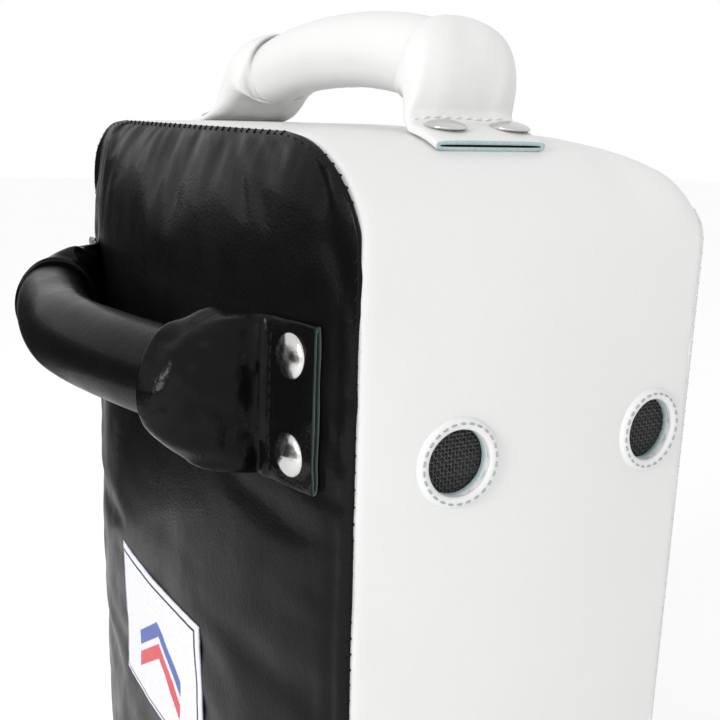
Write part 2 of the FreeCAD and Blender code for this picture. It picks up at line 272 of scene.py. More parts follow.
class Shader:
    """A Principled material with short calls for the nodes that feed it, in object coordinates."""

    def __init__(self, name, colour, roughness, **sockets):
        self.material = bpy.data.materials.new(name)
        self.material.use_nodes = True
        self.tree = self.material.node_tree
        self.bsdf = self.tree.nodes["Principled BSDF"]
        self.bsdf.inputs["Base Color"].default_value = (*colour, 1)
        self.bsdf.inputs["Roughness"].default_value = roughness
        for socket, value in sockets.items():
            self.bsdf.inputs[socket.replace("_", " ")].default_value = value
        self.coordinates = self.tree.nodes.new("ShaderNodeTexCoord").outputs["Object"]
        self.height = None

    def link(self, source, target):
        self.tree.links.new(source, target)

    def add(self, kind, vector=None, **sockets):
        """A new node with its constants set, fed with vector where it takes one."""
        node = self.tree.nodes.new("ShaderNode" + kind)
        for socket, value in sockets.items():
            node.inputs[socket.replace("_", " ")].default_value = value
        if vector is not None:
            self.link(vector, node.inputs["Vector"])
        return node

    def noise(self, scale, detail=3.0, stretch=(1, 1, 1), turn=(0, 0, 0), distortion=0.0):
        placed = self.add("Mapping", self.coordinates, Scale=stretch, Rotation=turn).outputs["Vector"]
        return self.add("TexNoise", placed, Scale=scale, Detail=detail, Distortion=distortion).outputs["Fac"]

    def ridges(self, scale, stretch=(1, 1, 1), turn=(0, 0, 0)):
        """Noise with sharp crests, like the folds of crumpled leather."""
        factor = self.noise(scale, 4.0, stretch, turn, 0.4)
        factor.node.noise_type = "RIDGED_MULTIFRACTAL"
        return factor

    def cells(self, scale):
        return self.add("TexVoronoi", self.coordinates, Scale=scale).outputs["Distance"]

    def bands(self, scale, direction, distortion=0.0):
        texture = self.add("TexWave", self.coordinates, Scale=scale, Distortion=distortion)
        texture.bands_direction = direction
        return texture.outputs["Fac"]

    def colour(self, factor, first, second):
        """Blends the base colour from first to second."""
        node = self.add("Mix")
        node.data_type = "RGBA"
        node.inputs["A"].default_value = (*first, 1)
        node.inputs["B"].default_value = (*second, 1)
        self.link(factor, node.inputs["Factor"])
        self.link(node.outputs["Result"], self.bsdf.inputs["Base Color"])

    def roughness(self, value, low, high):
        """Spreads the roughness from low to high over the middle of a texture's range."""
        node = self.add("MapRange", From_Min=0.3, From_Max=0.7, To_Min=low, To_Max=high)
        self.link(value, node.inputs["Value"])
        self.link(node.outputs["Result"], self.bsdf.inputs["Roughness"])

    def bump(self, value, depth):
        """Adds a relief layer of the given depth in millimetres."""
        node = self.add("Bump", Distance=depth * MM, Strength=1.0)
        self.link(value, node.inputs["Height"])
        if self.height is not None:
            self.link(self.height, node.inputs["Normal"])
        self.height = node.outputs["Normal"]
        self.link(self.height, self.bsdf.inputs["Normal"])


def black_leather(name, crease=0.10, gloss=(0.26, 0.42), crumple=0.0):
    shader = Shader(name, (0.003, 0.003, 0.0033), 0.3, Coat_Weight=0.06, Coat_Roughness=0.10,
                    Specular_IOR_Level=0.08)
    shader.colour(shader.noise(24, 4), (0.0020, 0.0020, 0.0022), (0.0045, 0.0044, 0.0048))
    shader.roughness(shader.noise(55, 5), *gloss)
    shader.bump(shader.cells(950), 0.05)
    shader.bump(shader.noise(1500, 2), 0.02)
    shader.bump(shader.noise(240, 6, stretch=(1, 1, 0.55), distortion=0.6), crease)
    if crumple:
        shader.bump(shader.ridges(95, stretch=(0.55, 1, 1), turn=(0.2, 0.5, 0.3)), crumple)
    return shader.material


def white_leather(name, crease=0.08, crumple=0.0):
    shader = Shader(name, (0.67, 0.67, 0.665), 0.42, Coat_Weight=0.05, Coat_Roughness=0.3,
                    Specular_IOR_Level=0.35)
    shader.colour(shader.noise(14, 5), (0.645, 0.645, 0.64), (0.70, 0.70, 0.695))
    shader.roughness(shader.noise(60, 4), 0.36, 0.52)
    shader.bump(shader.cells(1100), 0.02)
    shader.bump(shader.noise(260, 6, distortion=0.5), crease)
    if crumple:
        shader.bump(shader.ridges(80, stretch=(1, 1, 0.6)), crumple)
    return shader.material


def cut_edge(name, dark, light):
    """The raw split edge of cut leather; in near-black tones it is also the painted shade in the gap between
    a flap's two layers.
    """
    shader = Shader(name, dark, 0.85, Sheen_Weight=0.3, Specular_IOR_Level=0.2)
    shader.colour(shader.noise(900, 5), dark, light)
    shader.bump(shader.noise(1400, 4), 0.15)
    return shader.material


def nickel(name):
    shader = Shader(name, (0.62, 0.61, 0.60), 0.2, Metallic=1.0)
    shader.colour(shader.noise(140, 6), (0.50, 0.49, 0.48), (0.72, 0.71, 0.70))
    shader.roughness(shader.noise(420, 6), 0.13, 0.30)
    shader.bump(shader.noise(900, 3, stretch=(1, 1, 0.15)), 0.01)
    return shader.material


def thread(name, colour, light):
    shader = Shader(name, colour, 0.75, Specular_IOR_Level=0.1)
    shader.colour(shader.noise(1200, 2), colour, light)
    shader.bump(shader.bands(620, "DIAGONAL", 1.0), 0.06)
    return shader.material


def woven(name, dark, light):
    """Fine plain weave, as on a woven label."""
    shader = Shader(name, light, 0.7, Sheen_Weight=0.25)
    shader.colour(shader.noise(780, 3), dark, light)
    shader.bump(shader.bands(325, "X"), 0.07)
    shader.bump(shader.bands(325, "Z"), 0.07)
    return shader.material


def pile(name, dark, light):
    """Hook or loop pile."""
    shader = Shader(name, light, 0.9, Sheen_Weight=0.6)
    shader.colour(shader.cells(900), light, dark)
    shader.bump(shader.cells(1100), 0.5)
    shader.bump(shader.noise(2200, 3), 0.2)
    return shader.material


def sheet_foam(name):
    shader = Shader(name, (0.05, 0.05, 0.055), 0.9)
    shader.colour(shader.noise(300, 4), (0.035, 0.035, 0.04), (0.07, 0.07, 0.075))
    shader.bump(shader.cells(1400), 0.2)
    return shader.material


def make_materials():
    return {
        "black": black_leather("black_leather"),
        "black_creased": black_leather("black_leather_creased", 0.25, (0.14, 0.28), 1.5),
        "white": white_leather("white_leather"),
        "white_creased": white_leather("white_leather_creased", 0.16, 0.35),
        "black_edge": cut_edge("black_leather_edge", (0.012, 0.045, 0.038), (0.035, 0.085, 0.075)),
        "white_edge": cut_edge("white_leather_edge", (0.26, 0.38, 0.40), (0.52, 0.63, 0.64)),
        # gap: near black on black and white cuffs alike, painted shade for the gap between a flap's two
        # folded layers
        "gap": cut_edge("layer_gap_painted_shade", (0.004, 0.006, 0.006), (0.010, 0.014, 0.014)),
        "suede": cut_edge("suede", (0.10, 0.14, 0.14), (0.20, 0.26, 0.26)),
        "nickel": nickel("nickel"),
        "black_thread": thread("black_thread", (0.004, 0.005, 0.0055), (0.010, 0.013, 0.014)),
        "grey_thread": thread("grey_thread", (0.20, 0.26, 0.27), (0.42, 0.48, 0.49)),
        "white_thread": thread("white_thread", (0.60, 0.62, 0.62), (0.80, 0.80, 0.80)),
        "mesh": woven("vent_mesh", (0.006, 0.006, 0.007), (0.020, 0.020, 0.022)),
        "label": woven("label_ground", (0.56, 0.56, 0.72), (0.78, 0.78, 0.88)),
        "label_border": woven("label_border", (0.01, 0.01, 0.015), (0.04, 0.04, 0.05)),
        "label_red": woven("label_red", (0.45, 0.02, 0.03), (0.66, 0.05, 0.06)),
        "label_blue": woven("label_blue", (0.02, 0.05, 0.24), (0.05, 0.10, 0.42)),
        "pile": pile("hook_and_loop", (0.30, 0.30, 0.30), (0.72, 0.72, 0.71)),
        "foam": sheet_foam("sheet_foam"),
    }


# ---------------------------------------------------------------- pad body

def corner_drop(offset, half_size, corner):
    """How far a rounded edge has dropped at offset from the middle."""
    run, drop = corner
    into = min(1.0, max(0.0, offset - (half_size - run)) / run)
    return drop * (1 - math.sqrt(1 - into * into))


def top_level(y):
    """Z of the top edge at depth y, and below it the same for the bottom edge."""
    return HEIGHT - corner_drop(y, HALF_D, TOP_FRONT_CORNER)


def bottom_level(y):
    return corner_drop(y, HALF_D, BOTTOM_FRONT_CORNER)


def corner_at(fallen, corner):
    """Run and drop of a corner once the end has fallen that far towards the front."""
    run, drop = corner
    if fallen >= drop:
        return LEAST_CORNER
    crossing = run * (1 - math.sqrt(1 - (1 - fallen / drop) ** 2))
    return min(run, max(LEAST_CORNER[0], 1.35 * crossing)), max(LEAST_CORNER[1], drop - 0.9 * fallen)


def outline(y, inset, count):
    """Points round the pad at depth y, from the middle of the bottom by way of +X, and normals."""
    top, bottom, side = top_level(y) - inset, bottom_level(y) + inset, HALF_W - inset
    half = []
    for level, up, (run, drop) in ((bottom, -1, corner_at(bottom_level(y), BOTTOM_CORNER)),
                                   (top, 1, corner_at(HEIGHT - top_level(y), TOP_CORNER))):
        steps = 40
        angles = [math.pi / 2 * k / steps for k in range(steps + 1)]
        arc = [Vector((side - run * (1 - math.cos(a)), level - up * drop * (1 - math.sin(a))))
               for a in angles]
        half += arc[::-1] if up < 0 else arc
    dense = [Vector((0, bottom))] + half + [Vector((0, top))]
    dense += [Vector((-p.x, p.y)) for p in reversed(half)]
    lengths = [0.0]
    for a, b in zip(dense, dense[1:] + dense[:1]):
        lengths.append(lengths[-1] + (b - a).length)
    points = []
    at = 0
    for k in range(count):
        goal = lengths[-1] * k / count
        while lengths[at + 1] < goal:
            at += 1
        share = (goal - lengths[at]) / (lengths[at + 1] - lengths[at])
        points.append(dense[at].lerp(dense[(at + 1) % len(dense)], share))
    normals = []
    for k, point in enumerate(points):
        ahead = points[(k + 1) % count] - points[k - 1]
        normals.append(Vector((ahead.y, -ahead.x)).normalized())
    return points, normals


BAND_COUNT = 300


def seam_inset(distance, roll=SEAM_ROLL):
    """How far the leather rolls in on its way to a seam that is distance away."""
    if distance >= roll:
        return 0.0
    return (roll - math.sqrt(roll ** 2 - (roll - distance) ** 2)) * 0.8


def build_side_band(materials):
    """The white gusset, from the back seam round to the front seam."""
    depth = FRONT_SEAM - BACK_SEAM
    ends = [0.0, 0.35, 0.9, 1.8, 3.2, 5.5]
    middle = [9 + (depth - 18) * k / 24 for k in range(25)]
    offsets = ends + middle + [depth - value for value in reversed(ends)]
    rows = []
    for offset in offsets:
        y = BACK_SEAM + offset
        inset = seam_inset(offset) + seam_inset(depth - offset, 2.2)
        points, normals = outline(y, inset, BAND_COUNT)
        share = 2 * offset / depth - 1
        row = []
        for k, (point, normal) in enumerate(zip(points, normals)):
            below = max(0.0, HEIGHT - point.y)
            puff = SIDE_BULGE * (1 - share ** 2) * normal.x ** 2 * (1 - math.exp(-below / 40))
            on_top = max(0.0, normal.y)
            puff += 1.2 * on_top * (1 - share ** 2) * (1 - (point.x / HALF_W) ** 2)
            near_seam = math.exp(-min(offset, depth - offset) / 9)
            hold = 0.0 if normal.y < -0.5 else 1.0
            along = k * SEAM_LENGTH / BAND_COUNT
            puff += hold * 0.45 * wave(point.x / 55, y / 50, point.y / 60)
            puff += hold * near_seam * 0.55 * wave(along / 9, y / 22)
            row.append((point.x + normal.x * puff, y, max(0.0, point.y + normal.y * puff)))
        rows.append(row)
    builder = Builder()
    builder.loft(rows, closed=True)
    band = builder.build("side_band_leather", [materials["white"]])
    recalculate_outward(band)
    subdivide(band)
    return band


def panel_grid(low, high, columns, rows, corner_low, corner_high):
    """Rows of (x, z, distance to the nearest edge) over a panel with rounded corners."""
    grid = []
    for j in range(rows + 1):
        t = j / rows
        z = low + (high - low) * (t - 0.105 * math.sin(math.tau * t))
        half = HALF_W
        for level, (run, drop) in ((z - low, corner_low), (high - z, corner_high)):
            if level < drop:
                half = HALF_W - run + run * math.sqrt(max(0.0, 1 - ((drop - level) / drop) ** 2))
        line = []
        for i in range(columns + 1):
            u = 2 * i / columns - 1
            s = 0.45 * u + 0.55 * math.sin(math.pi * u / 2)
            x = s * half
            edge = min(half - abs(x), z - low, high - z)
            line.append((x, z, max(0.0, edge)))
        grid.append(line)
    return grid


def rim_indices(columns, rows):
    """The vertices on the edge of a grid."""
    width = columns + 1
    return [j * width + i for j in range(rows + 1) for i in range(width)
            if i in (0, columns) or j in (0, rows)]


def inflate(obj, pinned, pressure, slack, cap):
    """Lets a sewn-down panel swell over its padding by cloth simulation, and keeps the result."""
    start = [vertex.co.copy() for vertex in obj.data.vertices]
    sewn = obj.vertex_groups.new(name="sewn")
    sewn.add(pinned, 1.0, "REPLACE")
    modifier = obj.modifiers.new("padding", "CLOTH")
    settings = modifier.settings
    settings.quality = 6
    settings.mass = 0.25
    settings.tension_stiffness = 25
    settings.compression_stiffness = 25
    settings.shear_stiffness = 12
    settings.bending_stiffness = 1.5
    settings.use_pressure = True
    settings.uniform_pressure_force = pressure
    settings.shrink_min = -slack
    settings.vertex_group_mass = "sewn"
    settings.effector_weights.gravity = 0
    modifier.collision_settings.use_collision = False
    scene = bpy.context.scene
    for step in range(1, 21):
        scene.frame_set(step)
    graph = bpy.context.evaluated_depsgraph_get()
    result = obj.evaluated_get(graph).data
    moved = [vertex.co.copy() for vertex in result.vertices]
    obj.modifiers.clear()
    obj.vertex_groups.clear()
    for vertex, before, after in zip(obj.data.vertices, start, moved):
        shift = after - before
        if shift.length > cap * MM:
            shift *= cap * MM / shift.length
        vertex.co = before + shift
    scene.frame_set(1)
    obj.data.update()


def dome(x, z):
    """How far the back panel stands out of the seam plane."""
    across = 1 - (x / HALF_W) ** 2
    from_top = 1 - math.exp((z - HEIGHT) / DOME_RUN)
    from_bottom = 1 - math.exp(-z / DOME_RUN)
    return BACK_DOME * across * from_top * from_bottom


def back_relief(x, z, edge):
    """Puckers, creases and the rolled seam edge of the back panel."""
    below = HEIGHT - z
    lean = x + 0.16 * below
    gather = wave(lean / 9.5, z / 110) + 0.6 * wave(lean / 4.6, z / 60, 3)
    relief = 0.95 * gather * math.exp(-below / 34) * smoothstep(0, 5, edge)
    relief += 0.55 * wave(x / 24, z / 170, 7) * math.exp(-below / 150)
    relief += 0.40 * wave((x - 0.45 * z) / 17, (z + x) / 120, 11) * smoothstep(60, 240, below)
    side = HALF_W - abs(x)
    relief += 0.95 * wave(z / 13, x / 60, 21) * math.exp(-abs(side - 13) / 8) * smoothstep(8, 30, below)
    along_side = smoothstep(24, 60, below)
    relief -= 0.55 * along_side * math.exp(-((edge - 6.0) / 1.6) ** 2)
    relief += 0.35 * along_side * math.exp(-((edge - 2.6) / 1.5) ** 2)
    relief += PILLOW * (1 - math.exp(-edge / 5.0))
    sunk = math.exp(-((abs(x) - 97) / 13) ** 2 - ((z - FLAP_Z) / 26) ** 2)
    return relief - 0.3 * PILLOW * sunk


def build_back_cover(materials):
    """The black panel: swollen by simulation between its seams, then creased."""
    columns, rows = 84, 132
    grid = panel_grid(0, HEIGHT, columns, rows, BOTTOM_CORNER, TOP_CORNER)
    builder = Builder()
    builder.loft([[(x, BACK_SEAM - 0.84 * dome(x, z), z) for x, z, _ in line] for line in grid])
    panel = builder.build("back_cover_leather", [materials["black"]])
    aim_normals(panel, Vector((0, -1, 0)))
    inflate(panel, rim_indices(columns, rows), 3.0, 0.004, 3.0)
    flat = [cell for line in grid for cell in line]
    for vertex, (x, z, edge) in zip(panel.data.vertices, flat):
        lift = back_relief(x, z, edge) * smoothstep(0, 1.2, edge)
        lip = 0.075 * smoothstep(2.5, 0, edge) * math.sin(math.tau * (z + x) / SEAM_STITCH)
        vertex.co.y -= (lift + lip) * MM
    panel.data.update()
    subdivide(panel)
    return thicken(panel, LEATHER)


def aim_normals(obj, direction):
    """Turns the faces so that they look along direction."""
    if obj.data.polygons[len(obj.data.polygons) // 2].normal.dot(direction) < 0:
        obj.data.flip_normals()


def build_front_cover(materials):
    """The white panel over the front, which carries the forearm strap."""
    columns, rows = 70, 104
    low, high = bottom_level(FRONT_SEAM), top_level(FRONT_SEAM)
    grid = panel_grid(low, high, columns, rows, corner_at(low, BOTTOM_CORNER),
                      corner_at(HEIGHT - high, TOP_CORNER))
    rise = FRONT - FRONT_SEAM + FRONT_SWELL
    strap_z = (STRAP_TAB[0].z + STRAP_TAB[1].z) / 2
    builder = Builder()
    rows_points = []
    for line in grid:
        points = []
        for x, z, edge in line:
            full = 1 - math.exp(-edge / 5)
            points.append((x, FRONT_SEAM + (rise - 0.6) * full, z))
        rows_points.append(points)
    builder.loft(rows_points)
    panel = builder.build("front_cover_leather", [materials["white"]])
    aim_normals(panel, Vector((0, 1, 0)))
    inflate(panel, rim_indices(columns, rows), 1.2, 0.002, 2.0)
    flat = [cell for line in grid for cell in line]
    for vertex, (x, z, edge) in zip(panel.data.vertices, flat):
        below = high - z
        lift = 0.4 * wave(x / 48, z / 60, 31)
        near_end = math.exp(-min(below, z - low) / 22)
        lift += 0.5 * wave(x / 10, z / 70, 33) * near_end * smoothstep(0, 4, edge)
        pull = math.exp(-((abs(x) - 101) / 16) ** 2 - ((z - strap_z) / 26) ** 2)
        lift -= 1.2 * pull
        lift -= 0.5 * math.exp(-((edge - 4.5) / 1.6) ** 2)
        vertex.co.y += lift * smoothstep(0, 1.5, edge) * MM
    panel.data.update()
    subdivide(panel)
    return thicken(panel, LEATHER)


class Surface:
    """A finished cover that other pieces are laid on."""

    def __init__(self, *objects):
        points, faces = [], []
        for obj in objects:
            start = len(points)
            points += [vertex.co / MM for vertex in obj.data.vertices]
            faces += [tuple(start + k for k in face.vertices) for face in obj.data.polygons]
        self.tree = BVHTree.FromPolygons(points, faces)

    def hit(self, origin, direction):
        """The first point of the cover from origin along direction, and its outward normal."""
        place, normal, _, _ = self.tree.ray_cast(Vector(origin), Vector(direction))
        if place is None:
            raise RuntimeError(f"nothing of the cover lies along {direction} from {origin}")
        if normal.dot(Vector(direction)) > 0:
            normal = -normal
        return place, normal


# ---------------------------------------------------------------- stitches and rivets

def stitch_mesh(builder, start, end, up, radius):
    """One sunk-ended stitch of thread from start to end."""
    along = (end - start).normalized()
    side = along.cross(up).normalized()
    rows = []
    for share, height, scale in ((0.0, -0.7, 0.45), (0.14, 0.15, 0.9), (0.5, 0.55, 1.0),
                                 (0.86, 0.15, 0.9), (1.0, -0.7, 0.45)):
        centre = start.lerp(end, share) + up * radius * height
        rows.append(circle(centre, side, up, radius * scale, 6))
    builder.tube(rows)


def thread_loop(builder, spots, up, radius):
    """A thread through the spots, thin at both ends."""
    rows = []
    last = len(spots) - 1
    for i, spot in enumerate(spots):
        along = (spots[min(i + 1, last)] - spots[max(i - 1, 0)]).normalized()
        side = along.cross(up).normalized()
        rise = side.cross(along)
        scale = 0.5 if i in (0, last) else 1.0
        rows.append(circle(spot, side, rise, radius * scale, 6))
    builder.tube(rows)


def stitch_line(builder, points, normals, length=3.2, gap=1.0, radius=0.42):
    """Stitches along a polyline of points with outward normals."""
    travelled = 0.0
    goal = gap / 2
    start = None
    for i in range(len(points) - 1):
        a, b = points[i], points[i + 1]
        span = (b - a).length
        while travelled + span >= goal and span > 0:
            share = (goal - travelled) / span
            spot = a.lerp(b, share)
            normal = normals[i].lerp(normals[i + 1], share).normalized()
            if start is None:
                start = (spot, normal)
                goal += length
            else:
                up = (start[1] + normal).normalized()
                stitch_mesh(builder, start[0], spot, up, radius)
                start = None
                goal += gap
        travelled += span


def rivet_cap(builder, centre, up, tilt=0.0):
    """A low domed cap with a rolled rim, slightly dished by the setting tool."""
    side = up.orthogonal().normalized()
    across = up.cross(side)
    profile = [(CAP_R - 0.9, -0.5), (CAP_R - 0.15, -0.35), (CAP_R + 0.05, 0.0), (CAP_R - 0.1, 0.4),
               (CAP_R - 0.5, 0.75), (CAP_R - 1.3, 1.15), (CAP_R - 2.5, 1.6), (CAP_R - 4.0, 1.95),
               (CAP_R - 5.4, 2.15), (0.5, 2.22)]
    rows = []
    for radius, height in profile:
        ring = []
        for k in range(40):
            angle = math.tau * k / 40
            dent = 0.05 * wave(radius / 3 + tilt, math.cos(angle), math.sin(angle))
            ring.append(centre + (side * math.cos(angle) + across * math.sin(angle)) * radius
                        + up * (height + dent))
        rows.append(ring)
    rows = builder.loft(rows, closed=True)
    builder.fan(rows[-1], centre + up * 2.24)
    builder.fan(rows[0], centre - up * 0.5, flip=True)


# ---------------------------------------------------------------- grips

class GripFrame:
    """Maps (x along, out from the cover, across the grip) to the pad's own axes."""

    def __init__(self, origin, out, across, surface):
        self.origin = origin
        self.out = out
        self.across = across
        self.surface = surface

    def at(self, x, out, across):
        return self.origin + Vector((x, 0, 0)) + self.out * out + self.across * across

    def cover(self, x, across):
        """Height of the cover above the origin's plane."""
        start = self.at(x, 60, across)
        place, _ = self.surface.hit(start, -self.out)
        return (place - self.origin).dot(self.out)


RING = 48


def ring_shape(half_wide, half_thick, square):
    """Superellipse points as (across, thickness), counter-clockwise."""
    points = []
    for k in range(RING):
        angle = math.tau * k / RING
        c, s = math.cos(angle), math.sin(angle)
        points.append((half_wide * math.copysign(abs(c) ** (2 / square), c),
                       half_thick * math.copysign(abs(s) ** (2 / square), s)))
    return points


def tube_rings(grip, path, hand, wrinkle, laid=None):
    """Rings along a path of (x, out, half width, half thickness, squareness).

    laid gives for each x how firmly the ring lies on the cover, from 0 to 1."""
    rings = []
    for i, (x, out, wide, thick, square) in enumerate(path):
        ahead, behind = path[min(i + 1, len(path) - 1)], path[max(i - 1, 0)]
        tangent = Vector((ahead[0] - behind[0], ahead[1] - behind[1])).normalized()
        normal = Vector((-tangent.y, tangent.x))
        if normal.y < 0 or (abs(normal.y) < 0.2 and normal.x < 0):
            normal = -normal
        hold = laid(x) if laid else 0.0
        ring = []
        for across, depth in ring_shape(wide, thick, square):
            depth += wrinkle(x, across, depth) if wrinkle else 0.0
            local_x = x + normal.x * depth
            local_out = out + normal.y * depth
            if hold > 0:
                on_cover = grip.cover(hand * local_x, across) + thick + depth
                local_out = local_out * (1 - hold) + on_cover * hold
            ring.append(grip.at(hand * local_x, local_out, across))
        rings.append(ring)
    return rings


def build_sleeve(name, grip, path, wrinkle, material, stuffing, body, slot, node):
    """The leather tube between the two cuffs, and its stuffing."""
    builder = Builder()
    builder.tube(tube_rings(grip, path, 1, wrinkle))
    sleeve = builder.build(name, [material])
    recalculate_outward(sleeve)
    subdivide(sleeve)
    inner = [(x * 0.97, out, wide - 2.6, thick - 2.6, square) for x, out, wide, thick, square in path[::2]]
    builder = Builder()
    builder.tube(tube_rings(grip, inner, 1, None))
    core = builder.build(name.replace("leather", "stuffing"), [stuffing])
    recalculate_outward(core)
    settle(core, body, "foam", node.replace("sleeve", "core"))
    settle(sleeve, body, slot, node)


def build_cuff(name, grip, path, hand, wrinkle, laid, looks):
    """A flattened end of the grip's leather, with its folded, cut and riveted flap."""
    builder = Builder()
    rings = tube_rings(grip, path, hand, wrinkle, laid)
    rows = builder.loft(rings, closed=True)
    x, out, wide, thick, square = path[-1]
    # The cut end: a rim of cut edge, then a face sunk 1.5 mm in the gap material, painted shade for the gap
    # between the flap's two layers.
    for inner, depth, kind in ((1.45, 0.0, 1), (1.5, -1.5, 2)):
        points = []
        for across, height in ring_shape(wide - inner, max(0.2, thick - inner), square):
            on_cover = grip.cover(hand * x, across) + thick + height
            points.append(grip.at(hand * (x + depth), on_cover, across))
        fresh = builder.row(points)
        builder.strip(rows[-1], fresh, closed=True, kind=kind)
        rows.append(fresh)
    builder.fan(rows[-1], middle_of(points), 2)
    builder.fan(rows[0], middle_of(rings[0]), 0, flip=True)
    cuff = builder.build(name, looks)
    recalculate_outward(cuff)
    crease_ring(cuff, rows[-3:])
    subdivide(cuff)
    return cuff


def crease_ring(obj, rings):
    """Keeps the edges round the flap's cut end sharp through the subdivision."""
    creases = obj.data.attributes.new("crease_edge", "FLOAT", "EDGE")
    wanted = set()
    for ring in rings:
        wanted |= {frozenset((a, b)) for a, b in zip(ring, ring[1:] + ring[:1])}
    values = [1.0 if frozenset(edge.vertices) in wanted else 0.0 for edge in obj.data.edges]
    creases.data.foreach_set("value", values)


def arch_path(arch, half_length, count, half_wide, half_thick):
    """A stuffed tube's path along its arched centre line."""
    height, half_span, power = arch
    path = []
    for k in range(count + 1):
        x = half_length * (2 * k / count - 1)
        out = height * (1 - abs(x / half_span) ** power) ** (1 / power)
        path.append((x, out, half_wide, half_thick, 2.1))
    return path


def build_cuffs(kind, grip, base, path, wrinkle, laid, looks, bend):
    """Both flattened ends of a grip. The (x, out) places of bend, in the base frame, are worked out but not
    used.
    """
    for hand, side in ((1, "right"), (-1, "left")):
        cuff = build_cuff(f"{kind}_cuff_leather_{side}", grip, path, hand, wrinkle, laid, looks)
        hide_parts(f"{kind}_cuff_{side}")
        start, end = (base.at(hand * x, out, 0) * MM for x, out in bend)
        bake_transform(cuff)
        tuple(start)
        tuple(end)


def build_back_grip(materials, surface):
    """The black grip: an arched tube between two creased cuffs that are riveted to the panel."""
    level = (BACK_SLEEVE[0].z + BACK_SLEEVE[1].z) / 2
    grip = GripFrame(Vector((0, BACK_SEAM, level)), Vector((0, -1, 0)), Vector((0, 0, 1)), surface)
    flap_end = BACK_CUFF[1].x - 3.0
    half_flap = (BACK_CUFF[1].z - BACK_CUFF[0].z) / 2

    def sleeve_wrinkle(x, across, depth):
        inner = smoothstep(4, -10, depth)
        fine = 0.30 * inner * wave(x / 4.2, across / 9, 41)
        return fine + 0.35 * wave(x / 30, across / 12, depth / 12)

    path = arch_path(BACK_ARCH, 74, 60, 14.0, 13.6)
    build_sleeve("back_grip_leather", grip, path, sleeve_wrinkle, materials["black"], materials["foam"],
                 "back_handle", "black_leather", "back_grip_sleeve")

    rivet_x = BACK_RIVETS[1].x - CAP_R
    rivet_rows = (BACK_RIVETS[0].z + CAP_R - FLAP_Z, BACK_RIVETS[1].z - CAP_R - FLAP_Z)

    def cuff_wrinkle(x, across, depth):
        free = smoothstep(90, 83, x)
        folds = 1 - 3.2 * abs(wave((across + 0.5 * x) / 7.5, x / 19, 51))
        folds += 0.7 - 2.2 * abs(wave((across - 0.8 * x) / 9.0, x / 12, depth / 20))
        cross = (0.6 - 1.9 * abs(wave(x / 4.5, across / 13, 53))) * smoothstep(77, 84, x)
        creased = free * smoothstep(71, 74, x) * (1.2 * folds + 1.3 * cross)
        outer = smoothstep(0.5, 1.5, depth)
        for place in rivet_rows:
            creased -= 0.9 * outer * math.exp(-((x - rivet_x) ** 2 + (across - place) ** 2) / 70)
        return creased

    def laid(x):
        return smoothstep(83.0, 88.5, x)

    stations = [
        (70.6, 32.7, 13.4, 13.2, 2.1),
        (69.7, 33.1, 14.5, 14.3, 2.1),
        (69.4, 33.2, 15.8, 15.6, 2.1),
        (69.9, 33.0, 16.9, 16.7, 2.1),
        (71.3, 32.1, 17.3, 16.7, 2.1),
        (72.8, 31.0, 18.2, 15.9, 2.2),
        (74.8, 29.0, 20.4, 14.6, 2.3),
        (77.6, 25.2, 22.6, 11.8, 2.4),
        (80.2, 19.8, 23.8, 8.4, 2.5),
        (82.4, 14.4, 24.4, 5.4, 2.7),
        (85.2, 10.6, half_flap, 3.2, 3.0),
        (89.2, 8.6, half_flap, FLAP_T / 2, 4.2),
        (98.0, 6.6, half_flap, FLAP_T / 2, 4.8),
        (105.0, 4.8, half_flap, FLAP_T / 2, 4.8),
        (flap_end, 2.8, half_flap, FLAP_T / 2, 4.8),
    ]
    flap = GripFrame(Vector((0, BACK_SEAM, FLAP_Z)), grip.out, grip.across, surface)
    sloped = SlopedGrip(flap, level - FLAP_Z, 81, 71)
    # The third look, gap, is painted shade for the gap between the flap's two layers.
    looks = [materials[name] for name in ("black_creased", "black_edge", "gap")]
    build_cuffs("back", sloped, flap, spline(stations, 1.5), cuff_wrinkle, laid, looks,
                ((88, 9), (74, 27)))
    return flap


class SlopedGrip(GripFrame):
    """A grip frame whose centre shifts across between two places along it."""

    def __init__(self, base, shift, x_none, x_full):
        super().__init__(base.origin, base.out, base.across, base.surface)
        self.shift = shift
        self.limits = (x_none, x_full)

    def at(self, x, out, across):
        none, full = self.limits
        return super().at(x, out, across + self.shift * smoothstep(none, full, abs(x)))


class LeaningGrip(GripFrame):
    """A grip that leans across a little as it rises, as a soft handle does."""

    def at(self, x, out, across):
        return super().at(x, out, across + 9.0 * (1 - math.exp(-max(0.0, out) / 12.0)))

    def cover(self, x, across):
        start = super().at(x, 60, across)
        place, _ = self.surface.hit(start, -self.out)
        return (place - self.origin).dot(self.out)


